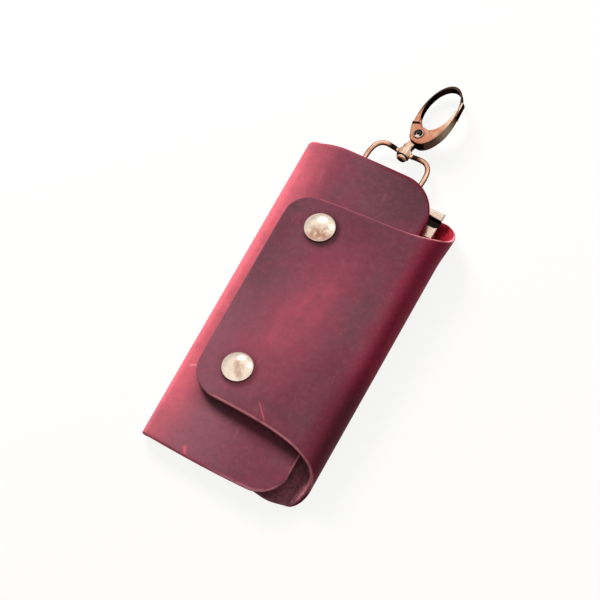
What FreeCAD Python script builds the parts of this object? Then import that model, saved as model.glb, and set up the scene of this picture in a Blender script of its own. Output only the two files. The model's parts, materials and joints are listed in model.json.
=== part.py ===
import FreeCAD, Part
import math
import os

# Key case: one leather sheet folded three ways, closed by two press studs, with a row of six
# key hooks riveted inside its top end and a swivel clasp held there by a leather strap.
# Millimetres. The case lies on its back, X across it, Y along it towards the clasp, Z up.
# The origin is on the outer face of the back panel. Lower and upper mean the ends along Y.

V = FreeCAD.Vector
X_AXIS = V(1, 0, 0)
Y_AXIS = V(0, 1, 0)
Z_AXIS = V(0, 0, 1)
ORIGIN = V(0, 0, 0)

# Leather sheet and its folds, with fold radii at the middle of the sheet
leather_thickness = 1.8
lower_reach = 65.0
upper_reach = 67.5
left_width_lower = 32.0
left_width_upper = 32.7
right_width_lower = 32.0
right_width_upper = 32.3
left_fold_radius_lower = 1.6
left_fold_radius_upper = 4.0
right_fold_radius_lower = 4.75
right_fold_radius_upper = 7.05
left_end_setback_upper = 2.5
left_flap_setback_upper = 2.05
right_end_overhang_lower = 0.3
right_end_setback_upper = 6.6

# Inner flap: free edge, rise at its start and end in degrees, slanted and bowed ends, rounded corners
inner_edge_distance_lower = 22.9
inner_edge_distance_upper = 21.9
inner_rises_lower = (2.2, 2.2)
inner_rises_upper = (5.0, 1.5)
inner_slant_depth_lower = 2.8
inner_slant_depth_upper = 1.3
inner_bow_depth_lower = 0.65
inner_corner_radius_lower = 11.5
inner_corner_radius_upper = 15.0

# Outer flap: free edge left of the middle, reach of its long edges at root and tip, and its neck
outer_edge_distance_lower = 26.1
outer_edge_distance_upper = 26.3
outer_rises_lower = (1.0, -7.5)
outer_rises_upper = (3.0, -9.0)
outer_setback_lower = 20.1
outer_setback_upper = 23.8
outer_taper_width_lower = 3.0
outer_taper_width_upper = 0.2
neck_length_lower = 9.5
neck_length_upper = 11.8
outer_corner_radius_lower = 11.0
outer_corner_radius_upper = 9.0

# Press studs
snap_inset_distance_lower = 11.9
snap_inset_distance_upper = 11.0
snap_edge_distance_lower = 12.5
snap_edge_distance_upper = 10.8
seat_press_depth = 0.25
seat_clearance = 0.1
cap_radius = 5.8
cap_rim_height = 0.5
cap_height = 2.2
cap_shank_radius = 1.8
socket_radius = 5.0
socket_ceiling_thickness = 0.5
stud_radius = 2.5
stud_flange_radius = 4.6
stud_flange_thickness = 0.4
stud_round_radius = 0.6
snap_play_gap = 0.6
snap_gap = 0.25
post_radius = 4.4
post_head_thickness = 0.6
post_shank_radius = 1.3

# Strap that holds the swivel eye
strap_thickness = 1.0
strap_width = 17.0
strap_leg_gap = 0.1
strap_leg_length = 7.2
strap_bend_gap = 0.8
bar_distance = 4.6
eye_slide_distance = 1.2
strap_askew_angle = 3.0

# Key plate, its rivets and the rod
plate_side_distance = 7.1
plate_sheet_thickness = 0.7
plate_setback = 5.3
lip_width = 3.3
lip_height = 2.3
groove_width = 3.5
hood_width = 5.4
hood_height = 3.2
hood_wall_thickness = 0.6
plate_cheek_thickness = 0.9
plate_round_radius = 0.8
rivet_spread_distance = 6.0
rivet_radius = 0.9
rivet_head_radius = 1.6
rivet_head_height = 0.6
rivet_cap_radius = 3.4
rivet_cap_height = 0.7
rod_radius = 0.7
rod_setback = 2.7
rod_rise_height = 1.2
running_clearance = 0.06

# Key hooks and their gates
hook_count = 6
hook_side_gap = 0.3
hook_thickness = 1.6
hook_barrel_radius = 1.25
hook_barrel_length = 3.0
hook_shank_width = 2.2
hook_loop_start_distance = 8.0
hook_loop_length = 18.0
hook_loop_width = 6.8
hook_wire_width = 1.2
hook_lay_gap = 0.15
hook_mouth_start_distance = 12.4
hook_mouth_end_distance = 21.6
hook_gate_gap = 0.3
hook_gate_width = 1.1
hook_lap_gap = 0.05
hook_pivot_radius = 1.0
hook_pin_radius = 0.38

# Swivel eye
eye_wire_radius = 0.95
eye_half_width = 11.75
eye_depth = 12.4
eye_shoulder_length = 7.0
eye_dip_depth = 0.6
eye_bar_corner_radius = 2.4
boss_radius = 2.5
boss_length = 2.8
bar_clearance = 0.1

# Swivel stem
stem_radius = 1.3
stem_head_radius = 1.95
stem_head_length = 1.4
stem_gap = 0.1
stem_tail_length = 1.4

# Clasp, in its own plane: across, along the stem and through its thickness
clasp_roll_angle = 15.0
clasp_lean_angle = 1.0
clasp_shift_distance = 3.1
clasp_middle_distance = 19.3
clasp_half_width = 7.25
clasp_half_length = 14.65
hole_half_width = 6.2
hole_half_length = 10.7
hole_shift_distance = 0.1
hole_lift_distance = 2.65
clasp_thickness = 5.0
clasp_round_radius = 0.6
arm_thickness = 3.0
tang_thickness = 2.2
tang_width = 3.0
tang_round_radius = 2.5
tang_play_gap = 0.15
pivot_across_distance = 1.8
pivot_along_distance = 8.6
pivot_pad_radius = 3.6
cheek_reach = 6.9
band_gap = 0.7
tip_gap = 0.3
tip_height = 3.6
lip_thickness = 0.7
lip_length = 3.4
lip_flare_angle = 6.0
branch_width = 2.2
collar_radius = 2.0
collar_length = 1.9
pin_radius = 1.1
pin_head_radius = 1.9
pin_head_thickness = 0.4
pin_bore_radius = 0.55
gate_swing_angle = 45.0
gate_taper_depth = 1.5
spring_wire_thickness = 0.5
spring_pocket_gap = 0.15

# Shares and counts that follow the sizes above
overrun = 40.0
flap_stations = 7
fold_stations = 9
swing_steps = 10
probe_share = 0.01
eye_dip_share = 0.4
corner_fade_share = 0.22
neck_powers = (2, 3)
tip_share = 0.36
arm_root_shares = (0.82, 0.245)

# Places that follow from the sizes above
back_left_upper = upper_reach - left_end_setback_upper
back_right_lower = lower_reach + right_end_overhang_lower
back_right_upper = upper_reach - right_end_setback_upper
outer_root_lower = lower_reach - outer_setback_lower
outer_root_upper = upper_reach - outer_setback_upper
outer_tip_lower = outer_root_lower - outer_taper_width_lower
outer_tip_upper = outer_root_upper - outer_taper_width_upper
upper_snap_reach = outer_tip_upper - snap_edge_distance_upper
lower_snap_reach = outer_tip_lower - snap_edge_distance_lower
plate_half_length = right_width_upper - plate_side_distance
hook_pitch_distance = 2 * (plate_half_length - plate_cheek_thickness - hook_side_gap) / hook_count
plate_top = upper_reach - plate_setback
strap_bend = plate_top + strap_bend_gap
strap_end = strap_bend - strap_leg_length
bar_reach = plate_top + bar_distance
left_width = (left_width_lower, left_width_upper)
right_width = (right_width_lower, right_width_upper)
left_radius = (left_fold_radius_lower, left_fold_radius_upper)
right_radius = (right_fold_radius_lower, right_fold_radius_upper)
end_places = (-lower_reach, upper_reach)


def between(pair, y):
    """Value at Y of a size given at the lower and the upper end."""
    share = (y + lower_reach) / (lower_reach + upper_reach)
    return pair[0] + (pair[1] - pair[0]) * share


def left_centre(y):
    radius = between(left_radius, y)
    inset = leather_thickness / 2 + radius
    return V(inset - between(left_width, y), y, inset), radius


def right_centre(y):
    radius = between(right_radius, y)
    inset = leather_thickness / 2 + radius
    return V(between(right_width, y) - inset, y, inset), radius


def rise(span, share, angles):
    """Height gained along a flap whose slope turns evenly from the first angle to the second."""
    start, end = (math.tan(math.radians(angle)) for angle in angles)
    return span * (start * share + (end - start) * share * share / 2)


def inner_point(share, y):
    """Middle of the inner flap's sheet, share 0 at the left fold and 1 at the free edge."""
    ends = []
    for place, edge, angles in zip(end_places, (inner_edge_distance_lower, inner_edge_distance_upper),
                                   (inner_rises_lower, inner_rises_upper)):
        centre, radius = left_centre(place)
        span = edge - centre.x
        ends.append((centre.x + span * share, centre.z + radius + rise(span, share, angles)))
    low, high = ends
    return V(between((low[0], high[0]), y), y, between((low[1], high[1]), y))


def outer_point(share, y):
    """Middle of the outer flap's sheet, share 0 at the right fold and 1 at the free edge."""
    ends = []
    for place, edge, angles in zip(end_places, (outer_edge_distance_lower, outer_edge_distance_upper),
                                   (outer_rises_lower, outer_rises_upper)):
        centre, radius = right_centre(place)
        span = centre.x + edge
        ends.append((centre.x - span * share, centre.z + radius + rise(span, share, angles)))
    low, high = ends
    return V(between((low[0], high[0]), y), y, between((low[1], high[1]), y))


def share_at(point, x, y):
    """Share along a flap at which its sheet passes over the place x, y."""
    start, end = point(0, y).x, point(1, y).x
    return (x - start) / (end - start)


def upward_normal(point, share, y):
    across = point(share + probe_share, y) - point(share - probe_share, y)
    along = point(share, y + leather_thickness) - point(share, y - leather_thickness)
    normal = across.cross(along).normalize()
    return normal if normal.z > 0 else normal * -1


def strip(stations):
    """Leather strip lofted through stations of a point function, an outward direction and two ends."""
    wires = []
    for point, outward, low, high in stations:
        half = outward * (leather_thickness / 2)
        corners = [point(low) - half, point(high) - half, point(high) + half, point(low) + half]
        wires.append(Part.makePolygon(corners + corners[:1]))
    return Part.makeLoft(wires, True, False)


def fold_arc(centre_at, side, angle):
    """Point function and outward direction of a fold at an angle from the back panel."""
    outward = V(side * math.sin(angle), 0, -math.cos(angle))

    def point(y):
        centre, radius = centre_at(y)
        return centre + outward * radius

    return point, outward


def neck_ends(length, share):
    """Lower and upper edge of the outer flap at a length round the right fold and a share of the flap."""
    necks = (neck_length_lower, neck_length_upper)
    low_fade, high_fade = (1 / (1 + (length / neck) ** power) for neck, power in zip(necks, neck_powers))
    low = outer_root_lower + (outer_tip_lower - outer_root_lower) * share
    high = outer_root_upper + (outer_tip_upper - outer_root_upper) * share
    return (-low - (back_right_lower - outer_root_lower) * low_fade,
            high + (back_right_upper - outer_root_upper) * high_fade)


def inner_ends(share):
    """Lower and upper end of the inner flap along Y at a share of the flap."""
    fade = max(0, 1 - share / corner_fade_share) ** 2
    low = lower_reach + inner_slant_depth_lower * share + inner_bow_depth_lower * math.sin(math.pi * share)
    high = upper_reach + inner_slant_depth_upper * (1 / 2 - share) - left_flap_setback_upper * fade
    return -low, high


def left_fold_shape():
    stations = []
    for step in range(fold_stations):
        angle = math.pi * step / (fold_stations - 1)
        high = back_left_upper + (inner_ends(0)[1] - back_left_upper) * angle / math.pi
        stations.append(fold_arc(left_centre, -1, angle) + (-lower_reach, high))
    return strip(stations)


def right_fold_shape():
    stations = []
    for step in range(fold_stations):
        angle = math.pi * step / (fold_stations - 1)
        low = neck_ends(right_fold_radius_lower * angle, 0)[0]
        high = neck_ends(right_fold_radius_upper * angle, 0)[1]
        stations.append(fold_arc(right_centre, 1, angle) + (low, high))
    return strip(stations)


def flap_station(point, share, low, high):
    middle = (low + high) / 2
    normal = upward_normal(point, share, middle)
    outward = V(normal.x, 0, normal.z).normalize() if 0 < share else V(Z_AXIS)
    return (lambda y: point(share, y)), outward, low, high


def rounded_at(shape, radii, corners):
    """Rounds the edge through the sheet that stands at each of the given corners."""
    for radius, corner in zip(radii, corners):
        nearest = min(shape.Edges, key=lambda edge: edge.CenterOfMass.distanceToPoint(corner))
        shape = shape.makeFillet(radius, [nearest])
    return shape


def inner_flap_shape():
    stations = []
    for step in range(flap_stations):
        share = step / (flap_stations - 1)
        stations.append(flap_station(inner_point, share, *inner_ends(share)))
    corners = [inner_point(1, end) for end in inner_ends(1)]
    return rounded_at(strip(stations), (inner_corner_radius_lower, inner_corner_radius_upper), corners)


def outer_flap_shape():
    stations = []
    for step in range(flap_stations):
        share = step / (flap_stations - 1)
        ends = []
        for side, edge in enumerate((outer_edge_distance_lower, outer_edge_distance_upper)):
            centre, radius = right_centre(end_places[side])
            length = math.pi * radius + share * (centre.x + edge)
            ends.append(neck_ends(length, share)[side])
        stations.append(flap_station(outer_point, share, *ends))
    corners = [outer_point(1, end) for end in ends]
    return rounded_at(strip(stations), (outer_corner_radius_lower, outer_corner_radius_upper), corners)


def back_panel_shape():
    corners = [left_centre(-lower_reach)[0], right_centre(-back_right_lower)[0],
               right_centre(back_right_upper)[0], left_centre(back_left_upper)[0]]
    outline = [V(corner.x, corner.y, 0) for corner in corners]
    return Part.Face(Part.makePolygon(outline + outline[:1])).extrude(V(0, 0, leather_thickness))


def turned(points, dome=None):
    """Solid of revolution about Z from an outline of radius and height, with one side domed if asked."""
    corners = [V(radius, 0, height) for radius, height in points]
    edges = []
    for index, start in enumerate(corners):
        end = corners[(index + 1) % len(corners)]
        if index == dome:
            rise_here = end.z - start.z
            ball = (start.x ** 2 + rise_here ** 2) / (2 * rise_here)
            middle = math.asin(start.x / ball) / 2
            crown = V(ball * math.sin(middle), 0, end.z - ball + ball * math.cos(middle))
            edges.append(Part.Arc(start, crown, end).toShape())
        else:
            edges.append(Part.makeLine(start, end))
    return Part.Face(Part.Wire(edges)).revolve(ORIGIN, Z_AXIS, 360)


def set_on(shape, base, axis):
    placed = shape.copy()
    placed.Placement = FreeCAD.Placement(base, FreeCAD.Rotation(Z_AXIS, axis))
    return placed


def snap_frame(x, y):
    """Middle of both flaps at a press stud, the stud's axis and the distance between the flaps."""
    top_share = share_at(outer_point, x, y)
    low_share = share_at(inner_point, x, y)
    axis = upward_normal(outer_point, top_share, y) + upward_normal(inner_point, low_share, y)
    axis.normalize()
    top = outer_point(top_share, y)
    low = inner_point(low_share, y)
    height = (top - low).dot(axis)
    return top, top - axis * height, axis, height


def snap_parts(x, y):
    """Cap, socket, stud and post of one press stud, and the cuts that they need in the flaps."""
    top, low, axis, height = snap_frame(x, y)
    seat = leather_thickness / 2 - seat_press_depth
    room = height - 2 * seat
    rim = seat + cap_rim_height
    cap = turned([(0, seat), (cap_radius, seat), (cap_radius, rim), (0, seat + cap_height)], 2)
    shank_end = -seat - socket_ceiling_thickness
    shank = Part.makeCylinder(cap_shank_radius, seat - shank_end, V(0, 0, shank_end))
    cap = cap.fuse(shank).removeSplitter()
    socket_height = room - stud_flange_thickness - snap_gap
    cavity = stud_radius + snap_play_gap
    socket_end = -seat - socket_height
    socket = turned([(cap_shank_radius, -seat), (socket_radius, -seat), (socket_radius, socket_end),
                     (cavity, socket_end), (cavity, shank_end), (cap_shank_radius, shank_end)])
    stud_top = seat + room - socket_ceiling_thickness - snap_gap
    stud_base = seat + stud_flange_thickness
    stud = turned([(post_shank_radius, seat), (stud_flange_radius, seat), (stud_flange_radius, stud_base),
                   (stud_radius - stud_round_radius / 2, stud_base),
                   (stud_radius, stud_top - stud_round_radius),
                   (stud_radius - stud_round_radius, stud_top), (post_shank_radius, stud_top)])
    post_base = -seat - post_head_thickness
    post = turned([(0, post_base), (post_radius, post_base), (post_radius, -seat),
                   (post_shank_radius, -seat), (post_shank_radius, stud_top), (0, stud_top)])

    def cut(shank, upper, lower):
        hole = Part.makeCylinder(shank, 2 * leather_thickness, V(0, 0, -leather_thickness))
        above = Part.makeCylinder(upper + seat_clearance, leather_thickness, V(0, 0, seat))
        below = Part.makeCylinder(lower + seat_clearance, leather_thickness, Z_AXIS * -seat, Z_AXIS * -1)
        return hole.fuse([above, below])

    outer_cut = set_on(cut(cap_shank_radius, cap_radius, socket_radius), top, axis)
    inner_cut = set_on(cut(post_shank_radius, stud_flange_radius, post_radius), low, axis)
    upper = [set_on(shape, top, axis) for shape in (cap, socket)]
    lower = [set_on(shape, low, axis) for shape in (stud, post)]
    return upper + lower, outer_cut, inner_cut


def box(x_range, y_range, z_range):
    size = [high - low for low, high in (x_range, y_range, z_range)]
    return Part.makeBox(*size, V(x_range[0], y_range[0], z_range[0]))


def rod(radius, length, base, axis):
    return Part.makeCylinder(radius, length, base, axis)


# Heights inside the case, from the back panel up
strap_top = leather_thickness + 2 * strap_thickness + strap_leg_gap
ring_radius = eye_wire_radius + bar_clearance + strap_thickness / 2
bar_height = leather_thickness + strap_thickness / 2 + ring_radius
rod_height = strap_top + rod_rise_height
lip_bottom = plate_top - lip_width
groove_bottom = lip_bottom - groove_width
hood_bottom = groove_bottom - hood_width
rod_place = groove_bottom - rod_setback
rivet_place = lip_bottom - groove_width / 2


def strap_shape():
    """Leather strip folded round the bar of the eye, both legs flat under the key plate."""
    centre = V(0, bar_reach, bar_height)
    upper_leg = strap_top - strap_thickness / 2
    lower_leg = leather_thickness + strap_thickness / 2
    bend = V(0, strap_bend, upper_leg)
    reach = centre - bend
    distance = reach.Length
    climb = math.atan2(reach.z, reach.y) + math.asin(ring_radius / distance)
    side = climb + math.pi / 2

    def profile(shift):
        ring = ring_radius + shift
        lean = V(0, -math.sin(climb / 2), math.cos(climb / 2)) / math.cos(climb / 2)
        touching = centre + V(0, math.cos(side), math.sin(side)) * ring
        far = centre + V(0, math.cos(side / 2 - math.pi / 4), math.sin(side / 2 - math.pi / 4)) * ring
        under = centre - V(0, 0, ring)
        return [V(0, strap_end, upper_leg + shift), bend + lean * shift, touching, far, under,
                V(0, strap_end, lower_leg - shift)]

    edges = []
    outside = profile(strap_thickness / 2)
    inside = profile(-strap_thickness / 2)
    for line in (outside, inside):
        edges += [Part.makeLine(line[0], line[1]), Part.makeLine(line[1], line[2])]
        edges += [Part.Arc(line[2], line[3], line[4]).toShape(), Part.makeLine(line[4], line[5])]
    edges += [Part.makeLine(outside[0], inside[0]), Part.makeLine(outside[5], inside[5])]
    face = Part.Face(Part.Wire(Part.__sortEdges__(edges)))
    face.translate(V(-strap_width / 2, 0, 0))
    return face.extrude(V(strap_width, 0, 0))


def askew(shape):
    """Strap and clasp pieces turned a little to one side, about the middle of the rivets."""
    shape.rotate(V(0, rivet_place, 0), Z_AXIS, -strap_askew_angle)
    return shape


def rivet_axes():
    return [V(side * rivet_spread_distance, rivet_place, 0) for side in (-1, 1)]


def plate_rivet_shape(place):
    head_base = strap_top + plate_sheet_thickness
    head_top = head_base + rivet_head_height
    points = [(0, rivet_cap_height), (rivet_radius, rivet_cap_height), (rivet_radius, head_base),
              (rivet_head_radius, head_base), (rivet_head_radius - rivet_head_height / 2, head_top),
              (0, head_top)]
    shape = turned(points)
    shape.translate(place)
    return shape


def rivet_cap_shape(place):
    points = [(0, 0), (rivet_cap_radius - rivet_cap_height / 2, 0), (rivet_cap_radius, rivet_cap_height),
              (0, rivet_cap_height)]
    shape = turned(points)
    shape.translate(place)
    return shape


def rivet_holes():
    holes = [rod(rivet_radius, overrun, place - Z_AXIS * overrun / 2, Z_AXIS) for place in rivet_axes()]
    return holes[0].fuse(holes[1:])


def key_plate_shape():
    """Pressed plate with a raised lip, a groove and a hood over the rod, closed by two cheeks."""
    length = (-plate_half_length, plate_half_length)
    inside = (-plate_half_length + plate_cheek_thickness, plate_half_length - plate_cheek_thickness)
    lip = box(length, (lip_bottom, plate_top), (strap_top, strap_top + lip_height))
    hood = box(length, (hood_bottom, groove_bottom), (strap_top, strap_top + hood_height))
    raised = []
    for block in (lip, hood):
        top = block.BoundBox.ZMax
        edges = [edge for edge in block.Edges if edge.BoundBox.ZMin > top - plate_sheet_thickness / 2]
        raised.append(block.makeFillet(plate_round_radius, edges))
    web = box(length, (groove_bottom, lip_bottom), (strap_top, strap_top + plate_sheet_thickness))
    hollow = box(inside, (hood_bottom - overrun, groove_bottom - hood_wall_thickness),
                 (strap_top - overrun, strap_top + hood_height - hood_wall_thickness))
    plate = web.fuse([raised[0], raised[1].cut(hollow)]).removeSplitter()
    bore = rod(rod_radius, overrun * 2, V(-overrun, rod_place, rod_height), X_AXIS)
    return plate.cut([bore, rivet_holes()])


def hook_rod_shape():
    return rod(rod_radius, 2 * plate_half_length, V(-plate_half_length, rod_place, rod_height), X_AXIS)


def stadium(width, start, end, low, high):
    """Flat bar with round ends along -Y, between two heights."""
    radius = width / 2
    places = (start + radius, end - radius)
    shapes = [Part.makeCylinder(radius, high - low, V(0, -place, low)) for place in places]
    shapes.append(box((-radius, radius), (-end + radius, -start - radius), (low, high)))
    return shapes[0].fuse(shapes[1:]).removeSplitter()


hook_reach = hook_loop_start_distance + hook_loop_length
hook_droop = math.asin((rod_height - hook_thickness / 2 - leather_thickness - hook_lay_gap) / hook_reach)
hook_side = (hook_loop_width - hook_wire_width) / 2
hook_pivot = V(hook_side, -hook_mouth_start_distance + hook_pivot_radius / 2, 0)


def hook_place(shape, index):
    placed = shape.copy()
    across = (index - (hook_count - 1) / 2) * hook_pitch_distance
    placed.Placement = FreeCAD.Placement(V(across, rod_place, rod_height),
                                         FreeCAD.Rotation(X_AXIS, math.degrees(hook_droop)))
    return placed


def hook_shape():
    """Hook that hangs along -Y from a barrel on the rod, with a lug and pin for its gate."""
    half = hook_thickness / 2
    loop = stadium(hook_loop_width, hook_loop_start_distance, hook_reach, -half, half)
    space = stadium(hook_loop_width - 2 * hook_wire_width, hook_loop_start_distance + hook_wire_width,
                    hook_reach - hook_wire_width, -hook_thickness, hook_thickness)
    shank_half = hook_shank_width / 2
    shank = box((-shank_half, shank_half), (-hook_loop_start_distance - hook_wire_width, 0), (-half, half))
    barrel = rod(hook_barrel_radius, hook_barrel_length, V(-hook_barrel_length / 2, 0, 0), X_AXIS)
    through = (-hook_thickness, hook_thickness)
    mouth = box((0, hook_loop_width), (-hook_mouth_end_distance, -hook_mouth_start_distance), through)
    lap_room = Part.makeCylinder(hook_pivot_radius + hook_gate_gap, half + hook_lap_gap,
                                 hook_pivot - Z_AXIS * hook_lap_gap)
    lug = Part.makeCylinder(hook_pivot_radius, half - hook_lap_gap, hook_pivot - Z_AXIS * half)
    pin = Part.makeCylinder(hook_pin_radius, hook_thickness, hook_pivot - Z_AXIS * half)
    body = shank.fuse([barrel, loop.cut(space)])
    body = body.cut([mouth, lap_room]).fuse([lug, pin])
    bore = rod(rod_radius + running_clearance, overrun, V(-overrun / 2, 0, 0), X_AXIS)
    return body.cut(bore).removeSplitter()


def hook_gate_shape():
    half = hook_thickness / 2
    wide = hook_gate_width / 2
    end = -hook_mouth_end_distance + hook_gate_gap
    bar = box((hook_side - wide, hook_side + wide), (end, hook_pivot.y), (hook_lap_gap, half))
    eye = Part.makeCylinder(hook_pivot_radius, half - hook_lap_gap, hook_pivot + Z_AXIS * hook_lap_gap)
    bore = Part.makeCylinder(hook_pin_radius + running_clearance, hook_thickness, hook_pivot)
    return bar.fuse(eye).cut(bore).removeSplitter()


def eye_shape():
    """Wire loop in the XY plane with its bar on the X axis, humped on both sides of the boss."""
    corner = eye_bar_corner_radius
    side_top = eye_depth - eye_shoulder_length
    hump = V(eye_half_width * (1 - eye_dip_share), eye_depth + eye_dip_depth, 0)
    right = [V(eye_half_width - corner, 0, 0), V(eye_half_width, corner, 0), V(eye_half_width, side_top, 0)]
    bend = corner * (1 - math.sqrt(2) / 2)
    middle = V(eye_half_width - bend, bend, 0)
    shoulder = Part.BezierCurve()
    shoulder.setPoles([right[2], V(eye_half_width, eye_depth + eye_dip_depth, 0), hump])
    dip = Part.BezierCurve()
    flat = hump.x / 2
    dip.setPoles([hump, V(flat, hump.y, 0), V(flat, eye_depth, 0), V(0, eye_depth, 0)])
    half = [Part.makeLine(ORIGIN, right[0]), Part.Arc(right[0], middle, right[1]).toShape(),
            Part.makeLine(right[1], right[2]), shoulder.toShape(), dip.toShape()]
    ring = Part.makeCircle(eye_wire_radius, ORIGIN, X_AXIS)
    tube = Part.Wire(half).makePipeShell([Part.Wire(ring)], True, False)
    loop = tube.fuse(tube.mirror(ORIGIN, X_AXIS))
    base = eye_depth - boss_length / 2
    boss = rod(boss_radius, boss_length, V(0, base, 0), Y_AXIS)
    bore = rod(stem_radius + running_clearance, overrun, V(0, eye_depth - overrun / 2, 0), Y_AXIS)
    return loop.fuse(boss).cut(bore).removeSplitter()


def stem_shape():
    """Headed pin along Y with its origin at the middle of the boss."""
    base = -boss_length / 2 - stem_gap
    head = rod(stem_head_radius, stem_head_length, V(0, base - stem_head_length, 0), Y_AXIS)
    edges = [edge for edge in head.Edges if edge.BoundBox.YMax < base - stem_head_length / 2]
    head = head.makeFillet(stem_head_length / 2, edges)
    shank = rod(stem_radius, stem_tail_length - 2 * base, V(0, base, 0), Y_AXIS)
    return head.fuse(shank).removeSplitter()


clasp_centre = V(clasp_shift_distance, clasp_middle_distance, 0)
pivot = V(pivot_across_distance, pivot_along_distance, 0)
collar_start = boss_length / 2 + stem_gap


def leaned(shape):
    shape.rotate(ORIGIN, Z_AXIS, -clasp_lean_angle)
    shape.translate(clasp_centre)
    return shape


def leaned_point(across, along):
    turn = -math.radians(clasp_lean_angle)
    return V(across * math.cos(turn) - along * math.sin(turn),
             across * math.sin(turn) + along * math.cos(turn), 0) + clasp_centre


def oval(across_half, along_half, shift, lift, thickness):
    centre = V(shift, lift, 0)
    curve = Part.Ellipse(centre + Y_AXIS * along_half, centre + X_AXIS * across_half, centre)
    shape = Part.Face(Part.Wire(curve.toShape())).extrude(V(0, 0, thickness))
    shape.translate(V(0, 0, -thickness / 2))
    return leaned(shape)


def round_edges(shape, radius):
    return shape.makeFillet(radius, [edge for edge in shape.Edges if len(edge.Vertexes) == 1])


def clasp_ring(thickness):
    """Oval ring of the clasp, thickest at its lower end."""
    outside = round_edges(oval(clasp_half_width, clasp_half_length, 0, 0, thickness), clasp_round_radius)
    hole = oval(hole_half_width, hole_half_length, hole_shift_distance, hole_lift_distance, 2 * thickness)
    return outside.cut(hole)


tip_across = clasp_half_width * math.sqrt(1 - tip_share ** 2)
tip_along = clasp_half_length * tip_share
tip_slope = math.atan2(tip_along / clasp_half_length ** 2, tip_across / clasp_half_width ** 2)
tip = leaned_point(tip_across, tip_along)
arm_root = leaned_point(-clasp_half_width * arm_root_shares[0], -clasp_half_length * arm_root_shares[1])


def gate_side(gap):
    """Block on the gate's side of the line from the pivot to the tip, grown across it by a gap."""
    run = tip - pivot
    block = box((-gap, overrun), (-overrun, overrun), (-overrun, overrun))
    block.rotate(ORIGIN, Z_AXIS, math.degrees(math.atan2(run.y, run.x)) - 90)
    block.translate(pivot)
    return block


def round_pivot(radius, thickness):
    return Part.makeCylinder(radius, thickness, pivot - Z_AXIS * thickness / 2)


def flat_bar(start, end, width, thickness):
    """Flat bar between two points of the clasp's plane, with round ends."""
    run = end - start
    bar = box((0, run.Length), (-width / 2, width / 2), (-thickness / 2, thickness / 2))
    for place in (0, run.Length):
        bar = bar.fuse(Part.makeCylinder(width / 2, thickness, V(place, 0, -thickness / 2)))
    bar = bar.removeSplitter()
    bar.rotate(ORIGIN, Z_AXIS, math.degrees(math.atan2(run.y, run.x)))
    bar.translate(start)
    return bar


def tongue(play):
    """Thin root of the hook between the gate's cheeks, grown all round by a play."""
    thickness = tang_thickness + 2 * play
    width = tang_width + 2 * play
    link = flat_bar(V(0, collar_start + tang_width / 2, 0), pivot, width, thickness)
    branch = flat_bar(pivot, arm_root, branch_width + 2 * play, thickness)
    return link.fuse([branch, round_pivot(tang_round_radius + play, thickness)])


def collar(play):
    return rod(collar_radius + play, collar_length + play, V(0, collar_start, 0), Y_AXIS)


def swept(shape):
    """Space that a fixed piece needs in the gate while the gate swings open."""
    copies = []
    for step in range(swing_steps):
        copy = shape.copy()
        copy.rotate(pivot, Z_AXIS, gate_swing_angle * step / (swing_steps - 1))
        copies.append(copy)
    return copies[0].fuse(copies[1:])


def tip_strip(inside, outside, start, end, height):
    """Straight strip along the clasp's outer edge at the tip."""
    strip_box = box((-inside, outside), (-start, end), (-height / 2, height / 2))
    strip_box.rotate(ORIGIN, Z_AXIS, math.degrees(tip_slope) - lip_flare_angle)
    strip_box.translate(V(tip_across, tip_along, 0))
    return leaned(strip_box)


def clasp_hook_shape():
    """Fixed half of the clasp: collar, root, left arm, top and tip."""
    arm = clasp_ring(arm_thickness).cut([gate_side(tip_gap), round_pivot(cheek_reach + band_gap, overrun)])
    arm = arm.cut(tip_strip(lip_thickness / 2 + tip_gap, overrun, lip_length, lip_length + tip_gap, overrun))
    hook = arm.fuse([tongue(0), collar(0)])
    stem_seat = rod(stem_radius, collar_start + stem_tail_length, ORIGIN, Y_AXIS)
    pocket_depth = spring_wire_thickness + spring_pocket_gap
    pocket = Part.makeCylinder(pin_radius + pocket_depth, pocket_depth, pivot - Z_AXIS * tang_thickness / 2)
    return hook.cut([stem_seat, pocket, round_pivot(pin_radius, overrun)])


def gate_wedge():
    """Block under the gate that thins it from the rivet towards the tip."""
    run = tip - pivot
    start = pivot_pad_radius
    block = box((0, overrun), (-overrun, overrun), (-overrun, 0))
    block.rotate(ORIGIN, Y_AXIS, -math.degrees(math.atan2(gate_taper_depth, run.Length - start)))
    block.translate(V(start, 0, -clasp_thickness / 2))
    block.rotate(ORIGIN, Z_AXIS, math.degrees(math.atan2(run.y, run.x)))
    block.translate(pivot)
    return block


def clasp_gate_shape():
    """Crescent lever with two cheeks over the hook's root and a thin lip past the hook's tip."""
    ring = clasp_ring(clasp_thickness)
    crescent = ring.common(gate_side(0))
    cheeks = ring.common(round_pivot(cheek_reach, clasp_thickness))
    pad = round_edges(round_pivot(pivot_pad_radius, clasp_thickness), clasp_round_radius)
    lip = tip_strip(lip_thickness / 2, lip_thickness / 2, lip_length, lip_length, tip_height)
    gate = crescent.fuse([cheeks, pad, lip])
    gate = gate.cut([swept(tongue(tang_play_gap)), swept(collar(tang_play_gap)), gate_wedge()])
    return gate.cut(round_pivot(pin_radius + running_clearance, overrun)).removeSplitter()


def gate_rivet_shape():
    """Hollow rivet with a ring head on both sides of the gate."""
    half = clasp_thickness / 2 + running_clearance
    end = half + pin_head_thickness
    points = [(pin_bore_radius, -end), (pin_head_radius, -end), (pin_head_radius, -half),
              (pin_radius, -half), (pin_radius, half), (pin_head_radius, half), (pin_head_radius, end),
              (pin_bore_radius, end)]
    shape = turned(points)
    shape.translate(pivot)
    return shape


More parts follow.
